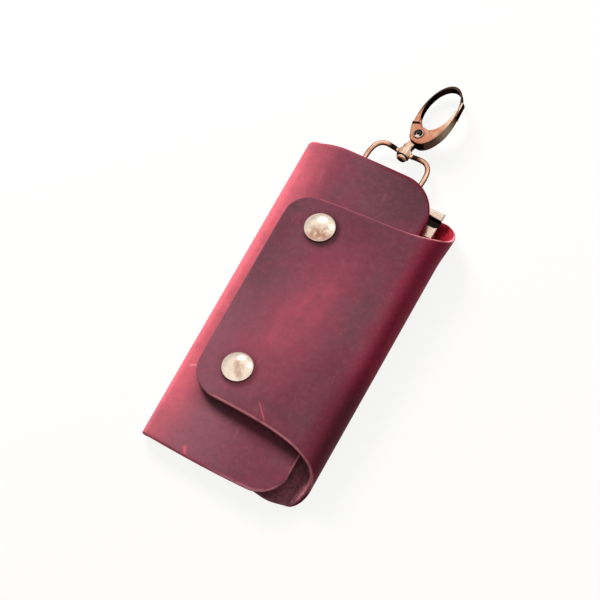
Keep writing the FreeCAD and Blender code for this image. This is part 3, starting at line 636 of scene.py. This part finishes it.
def leaf_columns(side, soft):
    """Columns of a fold and its flap: middle, direction, ends along Y and distance from the free edge."""
    columns = []
    for index in range(FOLD_STEPS + 1):
        angle = math.pi * index / FOLD_STEPS
        out = Vector((side * math.sin(angle), 0.0, -math.cos(angle)))
        if side < 0:
            low, high = inner_ends(0.0)
            ends = (-BACK_LEFT[0] + (low + BACK_LEFT[0]) * index / FOLD_STEPS,
                    BACK_LEFT[1] + (high - BACK_LEFT[1]) * index / FOLD_STEPS)
            flare = 0.0
        else:
            run = [radius * angle for radius in RIGHT_RADIUS]
            low, high = neck_ends(run, 0.0)
            ends = (low + heel(-run[0]), high)
            flare = FLARE * math.sin(angle) ** 2

        def middle(y, out=out, high=ends[1], flare=flare):
            centre, radius = fold_centre(side, y)
            return centre + out * (radius + flare * step(y, high - FLARE_REACH, high))

        columns.append((middle, out, *ends, FAR))
    corners = INNER_CORNER if side < 0 else OUTER_CORNER
    spans = [abs(flap_point(side, 1, y).x - flap_point(side, 0, y).x) for y in (-LOWER, UPPER)]
    span = sum(spans) / 2
    for distance in reversed(edge_columns(span, corners, soft)[:-1]):
        part = 1 - distance / span
        if side < 0:
            low, high = inner_ends(part)
        else:
            run = [math.pi * RIGHT_RADIUS[end] + part * spans[end] for end in (0, 1)]
            low, high = neck_ends(run, part)
        low += corner_inset(distance, corners[0])
        high -= corner_inset(distance, corners[1])
        out = flap_normal(side, part, (low + high) / 2)
        columns.append(((lambda y, part=part: flap_point(side, part, y)), out, low, high, distance))
    return columns


def back_columns():
    """Columns of the back, from the left fold to the right one."""
    columns = []
    for index in range(BACK_STEPS + 1):
        part = index / BACK_STEPS

        def middle(y, part=part):
            left, right = fold_centre(-1, y)[0].x, fold_centre(1, y)[0].x
            return Vector((left + (right - left) * part, y, THICKNESS / 2))

        low, high = (left + (right - left) * part for left, right in zip(BACK_LEFT, BACK_RIGHT))
        low -= heel(middle(-low, 1.0).x - middle(-low).x)
        columns.append((middle, Vector((0.0, 0.0, -1.0)), -low, high, FAR))
    return columns


def spoke(angle):
    return Vector((0.0, math.cos(angle), math.sin(angle)))


def strap_columns():
    """Strap from its upper leg round the bar of the eye and back, with its rows across the strap."""
    bend = Vector((0.0, STRAP_LEG[1], STRAP_TOP - STRAP_THICKNESS / 2))
    centre = Vector((0.0, *BAR))
    reach = centre - bend
    climb = math.atan2(reach.z, reach.y) + math.asin(RING / reach.length)
    path = []
    for index in range(LEG_STEPS + 1):
        place = STRAP_LEG[0] + (STRAP_LEG[1] - STRAP_BEND[0] - STRAP_LEG[0]) * index / LEG_STEPS
        path.append((Vector((0.0, place, bend.z)), QUARTER))
    touch = centre + spoke(climb + QUARTER) * RING
    path.append((bend + Vector((0.0, 0.0, STRAP_BEND[1])), QUARTER + climb / 2))
    for index in range(1, CLIMB_STEPS):
        path.append((bend.lerp(touch, index / CLIMB_STEPS), QUARTER + climb))
    for index in range(RING_STEPS + 1):
        angle = climb + QUARTER - (climb + math.pi) * index / RING_STEPS
        path.append((centre + spoke(angle) * RING, angle))
    under = THICKNESS + STRAP_THICKNESS / 2
    for index in range(1, UNDER_STEPS + 1):
        place = BAR[0] + (STRAP_LEG[0] - BAR[0]) * index / UNDER_STEPS
        path.append((Vector((0.0, place, under)), -QUARTER))
    columns = []
    for place, angle in path:
        columns.append(((lambda across, place=place: place + Vector((across, 0.0, 0.0))), spoke(angle),
                        -STRAP_HALF, STRAP_HALF, FAR))
    return columns


def sheet_mesh(name, columns, thickness, soft, pitch, shift):
    """Closed leather sheet of two faces and a softly rounded cut edge, with the attributes of its finish.

    shift gives the move of a point along its direction, for the outer face (1) and the inner one (-1)."""
    lead = [part * soft for part in EDGE_STEPS]
    count = round(max(high - low for _, _, low, high, _ in columns) / pitch)
    points, rims, brinks, fleshes = [], [], [], []
    top, under = [], []
    for side, grid in ((1, top), (-1, under)):
        for middle, out, low, high, from_edge in columns:
            inner = [low + soft + (high - low - 2 * soft) * index / count for index in range(1, count)]
            first = len(points)
            for y in [low + d for d in lead] + inner + [high - d for d in reversed(lead)]:
                gap = min(y - low, high - y, from_edge)
                near = min(gap, soft)
                half = thickness / 2 - soft + math.sqrt(max(0.0, soft ** 2 - (soft - near) ** 2))
                centre = middle(y)
                points.append(centre + out * (side * half + shift(centre, side)))
                rims.append(max(0.0, 1 - gap / (RIM_REACH * soft)) if side > 0 else 0.0)
                brinks.append(max(0.0, 1 - gap / BRINK))
                fleshes.append(float(side < 0))
            grid.append(range(first, len(points)))
    quads = [(one[i], two[i], two[i + 1], one[i + 1]) for grid in (top, under)
             for one, two in zip(grid, grid[1:]) for i in range(len(one) - 1)]
    borders = [[[column[row] for column in grid] for grid in (top, under)] for row in (0, -1)]
    borders += [(top[column], under[column]) for column in (0, -1)]
    quads += [(one[i], one[i + 1], two[i + 1], two[i]) for one, two in borders for i in range(len(one) - 1)]
    mesh = bpy.data.meshes.new(name)
    mesh.from_pydata([tuple(point * MM) for point in points], [], quads)
    shape = bmesh.new()
    shape.from_mesh(mesh)
    bmesh.ops.recalc_face_normals(shape, faces=shape.faces)
    shape.to_mesh(mesh)
    shape.free()
    for label, values in (("rim", rims), ("brink", brinks), ("flesh", fleshes)):
        mesh.attributes.new(label, "FLOAT", "POINT").data.foreach_set("value", values)
    mesh.polygons.foreach_set("use_smooth", [True] * len(mesh.polygons))
    return mesh


def add(name, data):
    """New object in the scene."""
    made = bpy.data.objects.new(name, data)
    bpy.context.scene.collection.objects.link(made)
    return made


def show(name, mesh, material):
    """New piece with its material."""
    piece = add(name, mesh)
    mesh.materials.clear()
    mesh.materials.append(material)
    return piece


def leather_piece(name, columns, shift, skin, tone, thickness=THICKNESS, soft=None, pitch=PITCH,
                  turn=None):
    """Leather sheet with its finish; points keep their place at rest, so that the pattern moves along."""
    mesh = sheet_mesh(name, columns, thickness, soft or skin.edge_round / MM, pitch, shift)
    if turn:
        mesh.transform(turn)
    places = [0.0] * (3 * len(mesh.vertices))
    mesh.vertices.foreach_get("co", places)
    mesh.attributes.new("rest", "FLOAT_VECTOR", "POINT").data.foreach_set("vector", places)
    return show(name, mesh, leather_finish(name + "_finish", skin, tone))


def wave_at(point, height):
    """Slow unevenness of a flap, still at the press studs."""
    away = step(nearest(point, SNAPS), *STILL)
    place = Vector((point.x / WAVE_LENGTH, point.y / WAVE_LENGTH, WAVE_SEED))
    return height / MM * away * noise.noise(place)


def row_tree():
    """Tree that sets a piece in a row, with its start, step and count, and gives it its finish."""
    tree = bpy.data.node_groups.new("piece_row", "GeometryNodeTree")
    for name, kind in (("Piece", "Geometry"), ("Start", "Vector"), ("Step", "Vector"), ("Count", "Int"),
                       ("Finish", "Material")):
        tree.interface.new_socket(name, in_out="INPUT", socket_type="NodeSocket" + kind)
    tree.interface.new_socket("Row", in_out="OUTPUT", socket_type="NodeSocketGeometry")
    start, line, copies, real, dressed, end = (tree.nodes.new(kind) for kind in (
        "NodeGroupInput", "GeometryNodeMeshLine", "GeometryNodeInstanceOnPoints",
        "GeometryNodeRealizeInstances", "GeometryNodeSetMaterial", "NodeGroupOutput"))
    line.mode = "OFFSET"
    links = ((start, "Count", line, "Count"), (start, "Start", line, "Start Location"),
             (start, "Step", line, "Offset"), (line, "Mesh", copies, "Points"),
             (start, "Piece", copies, "Instance"), (copies, "Instances", real, "Geometry"),
             (real, "Geometry", dressed, "Geometry"), (start, "Finish", dressed, "Material"),
             (dressed, "Geometry", end, "Row"))
    for source, out, target, into in links:
        tree.links.new(source.outputs[out], target.inputs[into])
    return tree


def set_row(work, tree, material, start=0.0, step_length=0.0, count=1):
    """Puts the row tree on a piece, across the case."""
    row = work.modifiers.new("row", "NODES")
    row.node_group = tree
    values = {"Start": (start, 0.0, 0.0), "Step": (step_length, 0.0, 0.0), "Count": count, "Finish": material}
    for item in tree.interface.items_tree:
        if item.name in values:
            row[item.identifier] = values[item.name]


def metal_mesh(node, bevel, row=None):
    """Copy of a solid's mesh, merged and set in a row if asked, with rounded edges and even shading."""
    shape = bmesh.new()
    shape.from_mesh(frame["nodes"][node].data)
    bmesh.ops.remove_doubles(shape, verts=shape.verts, dist=MERGE)
    bmesh.ops.dissolve_limit(shape, angle_limit=FLAT_ANGLE, verts=shape.verts, edges=shape.edges)
    mesh = bpy.data.meshes.new(node + "_shell")
    shape.to_mesh(mesh)
    shape.free()
    mesh.polygons.foreach_set("use_smooth", [True] * len(mesh.polygons))
    work = add(node + "_work", mesh)
    if row:
        set_row(work, *row)
    if bevel > 0:
        rounding = work.modifiers.new("rounding", "BEVEL")
        rounding.width = bevel
        rounding.segments = 3
        rounding.limit_method = "ANGLE"
        rounding.angle_limit = SHARP_ANGLE
        rounding.harden_normals = True
    work.modifiers.new("even", "WEIGHTED_NORMAL").keep_sharp = True
    made = bpy.data.meshes.new_from_object(work.evaluated_get(bpy.context.evaluated_depsgraph_get()))
    bpy.data.objects.remove(work)
    made.name = node + "_mesh"
    return made


def metal_piece(nodes, body, material, bevel, dark=None, row=None, round_piece=False, name=None):
    """Metal piece after the first of its nodes, with dark giving the patina and painted light of its faces or
    points.
    """
    mesh = metal_mesh(nodes[0], bevel, row)
    layer = mesh.attributes.new("patina_and_painted_light", "FLOAT", "POINT" if round_piece else "FACE")
    places = [(point.co, point.normal) for point in mesh.vertices] if round_piece else [
        (face.center, face.normal) for face in mesh.polygons]
    layer.data.foreach_set("value", [dark(place / MM, normal) if dark else 0.0 for place, normal in places])
    piece = show((name or nodes[0]) + "_metal", mesh, material)
    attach(piece, body)
    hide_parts(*nodes)


class KEYCASE_OT_back_panel(bpy.types.Operator):
    """Make the flat leather back."""
    bl_idname = "keycase.back_panel"
    bl_label = "Back Panel"

    def execute(self, context):
        leather = context.scene.key_case_leather

        def hollow(point, side):
            return -RIVET_DIP * (1 - step(nearest(point, RIVETS), *RIVET_REACH)) if side > 0 else 0.0

        piece = leather_piece("back_leather", back_columns(), hollow, leather, plain_tone)
        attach(piece, "case")
        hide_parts("back_panel")
        return {"FINISHED"}


class KEYCASE_OT_inner_flap(bpy.types.Operator):
    """Make the left fold and the inner flap as one sheet."""
    bl_idname = "keycase.inner_flap"
    bl_label = "Inner Flap"

    def execute(self, context):
        leather = context.scene.key_case_leather

        def press(point, side):
            if point.z <= THICKNESS * 2:
                return 0.0
            return -side * STUD_DIP * (1 - step(nearest(point, SNAPS), *INNER_DIP))

        columns = leaf_columns(-1, leather.edge_round / MM)
        piece = leather_piece("inner_leather", columns, press, leather, inner_tone)
        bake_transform(piece)
        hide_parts("left_fold", "inner_flap")
        return {"FINISHED"}


class KEYCASE_OT_outer_flap(bpy.types.Operator):
    """Make the right fold and the outer flap as one sheet."""
    bl_idname = "keycase.outer_flap"
    bl_label = "Outer Flap"

    def execute(self, context):
        leather = context.scene.key_case_leather

        def press(point, side):
            if point.z < OUTER_LEVEL:
                return 0.0
            dip = STUD_DIP * (1 - step(nearest(point, SNAPS), *OUTER_DIP[side]))
            curl = CURL * (1 - step(nearest(point, CORNERS), *CURL_REACH))
            return -side * dip + wave_at(point, leather.wave) * step(point.z, *WAVE_LEVELS) - curl

        columns = leaf_columns(1, leather.edge_round / MM)
        piece = leather_piece("outer_leather", columns, press, leather, outer_tone, pitch=OUTER_PITCH)
        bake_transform(piece)
        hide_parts("right_fold", "outer_flap")
        return {"FINISHED"}


class KEYCASE_OT_strap(bpy.types.Operator):
    """Make the leather strap round the bar of the swivel eye."""
    bl_idname = "keycase.strap"
    bl_label = "Clasp Strap"

    def execute(self, context):
        leather = context.scene.key_case_leather
        pivot = Vector((0.0, RIVETS[0][1] * MM, 0.0))
        turn = (Matrix.Translation(pivot) @ Matrix.Rotation(math.radians(-ASKEW), 4, "Z")
                @ Matrix.Translation(-pivot))
        piece = leather_piece("strap_leather", strap_columns(), lambda point, side: 0.0, leather, plain_tone,
                              STRAP_THICKNESS, STRAP_SOFT, turn=turn)
        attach(piece, "case")
        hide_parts("clasp_strap")
        return {"FINISHED"}


class KEYCASE_OT_press_studs(bpy.types.Operator):
    """Make the caps, sockets, studs and posts of both press studs."""
    bl_idname = "keycase.press_studs"
    bl_label = "Press Studs"

    def execute(self, context):
        metal = context.scene.key_case_metal

        def tan_and_reflection(place):
            """Tarnish with a painted reflection along the lower side of the upper cap and across the lower
            one.
            """
            x, y = place.plan()
            side, across = (spot(x, y, beside(snap, shift), radii, turn)
                            for snap, (shift, radii, turn) in zip(SNAPS, TARNISH_AND_REFLECTION))
            return (side * 0.95 + across * 0.7) * place.cloud(STUD_CLOUDS, 3.0).fade(0.25, 0.55)

        finish = metal_finish("stud_finish", metal.stud, metal.tan, metal.roughness, 0.25, tan_and_reflection,
                              scale=STUD_CLOUDS)
        for end in ("upper", "lower"):
            for part, body in (("cap", "outer_flap"), ("socket", "outer_flap"), ("stud", "inner_flap"),
                               ("post", "inner_flap")):
                node = f"{end}_snap_{part}"
                metal_piece([node], body, finish, metal.bevel)
        return {"FINISHED"}


class KEYCASE_OT_key_row(bpy.types.Operator):
    """Make the key plate, its rivets, the rod and the six key hooks."""
    bl_idname = "keycase.key_row"
    bl_label = "Key Row"

    def execute(self, context):
        metal = context.scene.key_case_metal
        plate = metal_finish("plate_finish", metal.plate, metal.patina_and_painted_light, metal.roughness, 0.12)
        hook = metal_finish("hook_finish", metal.plate, metal.patina_and_painted_light, metal.roughness + 0.06, 0.2)
        tree = row_tree()

        def groove(centre, normal):
            # Painted shade: the groove, and the faces from the groove up that face sideways, are dark.
            if GROOVE[0] < centre.y < GROOVE[1] and centre.z > THICKNESS:
                return 1.0
            return 0.7 * (1 - step(normal.z, 0.5, 0.9)) if centre.y > GROOVE[0] else 0.0

        metal_piece(["key_plate"], "case", plate, metal.bevel * 2, groove)
        metal_piece(["hook_rod"], "case", plate, metal.bevel)
        spread = (RIVETS[1][0] - RIVETS[0][0]) * MM
        for name, part in (("plate_rivets", "plate_rivet"), ("rivet_caps", "rivet_cap")):
            metal_piece(["left_" + part, "right_" + part], "case", plate, metal.bevel,
                        row=(tree, plate, 0.0, spread, 2), name=name)
        pitch = (middle_of("key_hook_2")[0] - middle_of("key_hook_1")[0]) * MM
        for number in range(HOOKS):
            for part in ("key_hook_", "hook_gate_"):
                node = f"{part}{number + 1}"
                mesh = metal_mesh(part + "1", metal.bevel, (tree, hook, number * pitch))
                piece = show(node + "_metal", mesh, hook)
                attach(piece, node)
                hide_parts(node)
        return {"FINISHED"}


class KEYCASE_OT_clasp(bpy.types.Operator):
    """Make the swivel eye and the clasp with its gate."""
    bl_idname = "keycase.clasp"
    bl_label = "Swivel Clasp"

    def execute(self, context):
        metal = context.scene.key_case_metal
        joints = {joint["name"]: joint for joint in frame["record"]["behaviour"]["joints"]}
        facing = -Vector(joints["clasp_gate_open"]["axis"])
        pivot = Vector(joints["clasp_gate_open"]["pos_m"]) / MM
        along = Vector(joints["clasp_swivel"]["axis"])
        boss = Vector(joints["clasp_swivel"]["pos_m"]) / MM
        sideways = along.cross(facing)
        low, high = (Vector(corner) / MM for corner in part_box("clasp_hook"))
        hole = (low + high) / 2

        def measured(place, way):
            reach = place.node("ShaderNodeVectorMath", {0: place, 1: way}, {"operation": "DOT_PRODUCT"},
                               "Value")
            return reach / MM - boss.dot(way)

        def slit(place):
            """Painted shadow in the gap between the arm and the gate's cheek, and a painted shadow ring round
            the rivet.
            """
            reach, aside = measured(place, along), measured(place, sideways)
            cross = reach - aside * GAP_SLOPE
            gap = cross.fade(*GAP[0]) * cross.fade(*GAP[1]) * aside.fade(*GAP[2])
            up, over = reach - (pivot - boss).dot(along), aside - (pivot - boss).dot(sideways)
            away = (up * up + over * over) ** 0.5
            return gap.most(away.fade(*RIVET_SHADOW[0]) * away.fade(*RIVET_SHADOW[1]) * 0.8)

        def ramp(span, strength):
            """Change of tone along the clasp: painted highlight at the tip of the gate, painted shade over
            the crown of the arm, or painted highlight on its shank.
            """
            return lambda place: measured(place, along).fade(*span) * strength

        rim = dim(metal.bronze, 0.22)
        copper = (metal.bronze, metal.patina_and_painted_light, metal.roughness, 0.3)
        bronze = metal_finish("bronze_finish", *copper, edge=rim)
        lever_finish = metal_finish("lever_finish", *copper, slit, ramp(*TIP), rim, sheen_grey=SHEEN_GREY)
        arm_finish = metal_finish("arm_finish", *copper, ramp(*CROWN), ramp(*SHANK), rim)
        pale = metal_finish("rivet_finish", metal.plate, metal.patina_and_painted_light, metal.roughness, 0.15)
        spring = metal_finish("spring_finish", metal.plate, metal.patina_and_painted_light, metal.roughness + 0.1, 0.3)

        # Patina and painted light of the pieces, from the place and the direction of a face or a point: faces
        # turned away from the front darkened as a painted dark reflection, upper faces paled as painted
        # highlights.
        def arm(centre, normal):
            return 1 - step(abs(normal.dot(facing)), 0.3, 0.62)

        def lever(centre, normal):
            # Painted dark reflection on the gate's walls, except those facing the hole, with a painted grey
            # sheen along the middle.
            inward = (hole - centre).normalized().dot(normal)
            reach = (centre - boss).dot(along)
            sheen = 0.06 + 0.15 * math.exp(-((reach - 15.5) / 5.0) ** 2)
            return arm(centre, normal) * (1 - step(inward, 0.1, 0.5)) * (1 - sheen)

        def ring(centre, normal):
            away = centre - pivot
            return 1 - step((away - facing * away.dot(facing)).length, 0.6, 0.8)

        def wire(centre, normal):
            # Painted highlight along the top of the wire and over the top of the boss, painted shade on the
            # wire's sides and underside, and the wire darker just beside the boss.
            away = (centre - boss).length
            if away < 3.4 and normal.z > 0.3:
                return -0.9
            boss_dark = step(away, 3.2, 3.6) * (1 - step(away, 5.0, 8.0))
            pale = 0.45 + 0.4 * step(away, 10.0, 14.0) * step(centre.x, 2.0, 8.0)
            dark = max(0.95 * (1 - step(normal.z, 0.45, 0.8)), 0.97 * boss_dark)
            return dark - pale * step(normal.z, 0.8, 0.99) * (1 - boss_dark)

        def stem(centre, normal):
            # Painted highlight on the stem's upper faces, painted shade on its sides and underside.
            return 0.95 * (1 - step(normal.z, 0.0, 0.45)) - 0.9 * step(normal.z, 0.45, 0.8)

        pieces = (("swivel_eye", "swivel_eye", bronze, wire), ("swivel_stem", "clasp", bronze, stem),
                  ("clasp_hook", "clasp", arm_finish, arm), ("gate_rivet", "clasp", pale, ring),
                  ("clasp_gate", "clasp_gate", lever_finish, lever))
        for node, body, finish, dark in pieces:
            metal_piece([node], body, finish, metal.bevel * 1.6, dark,
                        round_piece=dark in (wire, stem))
        metal_piece(["gate_spring"], "clasp", spring, 0.0)
        return {"FINISHED"}


class KEYCASE_OT_stage(bpy.types.Operator):
    """Make the floor, the light and the camera."""
    bl_idname = "keycase.stage"
    bl_label = "Stage"

    def execute(self, context):
        stage = context.scene.key_case_stage
        self.floor(stage)
        self.sky(context.scene, stage)
        self.camera(context.scene, stage)
        for name, place, size, power, mirrored in LAMPS:
            self.lamp(name, place, size, stage.key * power, mirrored)
        context.scene.view_settings.view_transform = "Standard"
        return {"FINISHED"}

    def floor(self, stage):
        """Pale floor that takes shadows and is otherwise seen almost white."""
        mesh = bpy.data.meshes.new("floor")
        mesh.from_pydata([(x * FLOOR_HALF, y * FLOOR_HALF, FLOOR_LEVEL)
                          for x, y in ((-1, -1), (1, -1), (1, 1), (-1, 1))], [], [(0, 1, 2, 3)])
        floor = add("floor", mesh)
        material, start = finish_tree("floor_finish")
        place = start.node("ShaderNodeTexCoord", output="Object")
        tint = place.cloud(3.0, 2.0).fade(0.2, 0.8).blend(stage.floor, dim(stage.floor, 0.985))
        plain = start.node("ShaderNodeBsdfDiffuse", {"Color": tint})
        white = start.node("ShaderNodeEmission", {"Color": (1.0, 1.0, 0.985)})
        seen = self.seen(start) * stage.bright
        mixed = start.node("ShaderNodeMixShader", {0: seen, 1: plain, 2: white})
        mixed.end("ShaderNodeOutputMaterial")
        mesh.materials.append(material)

    def sky(self, scene, stage):
        """Weak light from all round, seen as white and mirrored as a pale, uneven room."""
        scene.world = world = bpy.data.worlds.new("studio")
        world.use_nodes = True
        world.node_tree.nodes.clear()
        start = Wire(world.node_tree)
        way = start.node("ShaderNodeTexCoord", output="Generated")
        sky = way.parts()[2].fade(-0.05, 0.75).blend((0.6, 0.6, 0.61), (1.0, 1.0, 1.0))
        room = way.cloud(2.2, 1.0, 0.4).fade(0.3, 0.6) * 0.22 + 0.78
        lit = self.seen(start) * room.most(self.ray(start, "Camera"))
        power = lit * (1.0 - stage.ambient) + stage.ambient
        glow = start.node("ShaderNodeBackground", {"Color": sky, "Strength": power})
        glow.end("ShaderNodeOutputWorld")

    @staticmethod
    def camera(scene, stage):
        """Camera turned and tilted about the case, and moved aside to its target."""
        data = bpy.data.cameras.new("camera")
        data.lens = stage.lens
        data.sensor_width = SENSOR
        data.sensor_fit = "HORIZONTAL"
        data.clip_start = NEAREST
        data.dof.use_dof = False
        scene.camera = add("camera", data)
        turn = Matrix.Rotation(stage.azimuth, 4, "Z")
        tilt = Matrix.Rotation(QUARTER - stage.elevation, 4, "X")
        scene.camera.matrix_world = turn @ tilt @ Matrix.Translation((*TARGET, stage.distance))

    @staticmethod
    def ray(start, kind):
        return start.node("ShaderNodeLightPath", output=f"Is {kind} Ray")

    def seen(self, start):
        """1 for what the camera and the glossy pieces see directly."""
        return self.ray(start, "Camera").most(self.ray(start, "Glossy"))

    @staticmethod
    def lamp(name, place, size, power, mirrored):
        """Round soft lamp turned to the case, mirrored in the metal or not."""
        data = bpy.data.lights.new(name, "AREA")
        data.shape = "DISK"
        data.size = size
        data.energy = power
        lamp = add(name, data)
        lamp.visible_glossy = mirrored
        lamp.location = place
        lamp.rotation_euler = Vector(place).to_track_quat("Z", "Y").to_euler()


class KEYCASE_PT_panel(bpy.types.Panel):
    """Lists the pieces of the key case and their settings."""
    bl_idname = "KEYCASE_PT_panel"
    bl_label = "Key Case"
    bl_space_type = "VIEW_3D"
    bl_region_type = "UI"
    bl_category = "Key Case"

    def draw(self, context):
        for operator in OPERATORS:
            self.layout.operator(operator.bl_idname)
        for name in GROUPS:
            group = getattr(context.scene, name)
            box = self.layout.box()
            for key in group.bl_rna.properties.keys():
                if key not in ("rna_type", "name"):
                    box.prop(group, key)


OPERATORS = (KEYCASE_OT_back_panel, KEYCASE_OT_inner_flap, KEYCASE_OT_outer_flap, KEYCASE_OT_strap,
             KEYCASE_OT_press_studs, KEYCASE_OT_key_row, KEYCASE_OT_clasp, KEYCASE_OT_stage)
GROUPS = {"key_case_leather": KeyCaseLeather, "key_case_metal": KeyCaseMetal, "key_case_stage": KeyCaseStage}
CLASSES = (*GROUPS.values(), *OPERATORS, KEYCASE_PT_panel)


def register():
    for kind in CLASSES:
        bpy.utils.register_class(kind)
    for name, group in GROUPS.items():
        setattr(bpy.types.Scene, name, bpy.props.PointerProperty(type=group))


def unregister():
    for name in GROUPS:
        delattr(bpy.types.Scene, name)
    for kind in reversed(CLASSES):
        bpy.utils.unregister_class(kind)


def main():
    register()
    bpy.ops.keycase.back_panel()
    bpy.ops.keycase.inner_flap()
    bpy.ops.keycase.outer_flap()
    bpy.ops.keycase.strap()
    bpy.ops.keycase.press_studs()
    bpy.ops.keycase.key_row()
    bpy.ops.keycase.clasp()
    bpy.ops.keycase.stage()


if __name__ == "__main__":
    main()
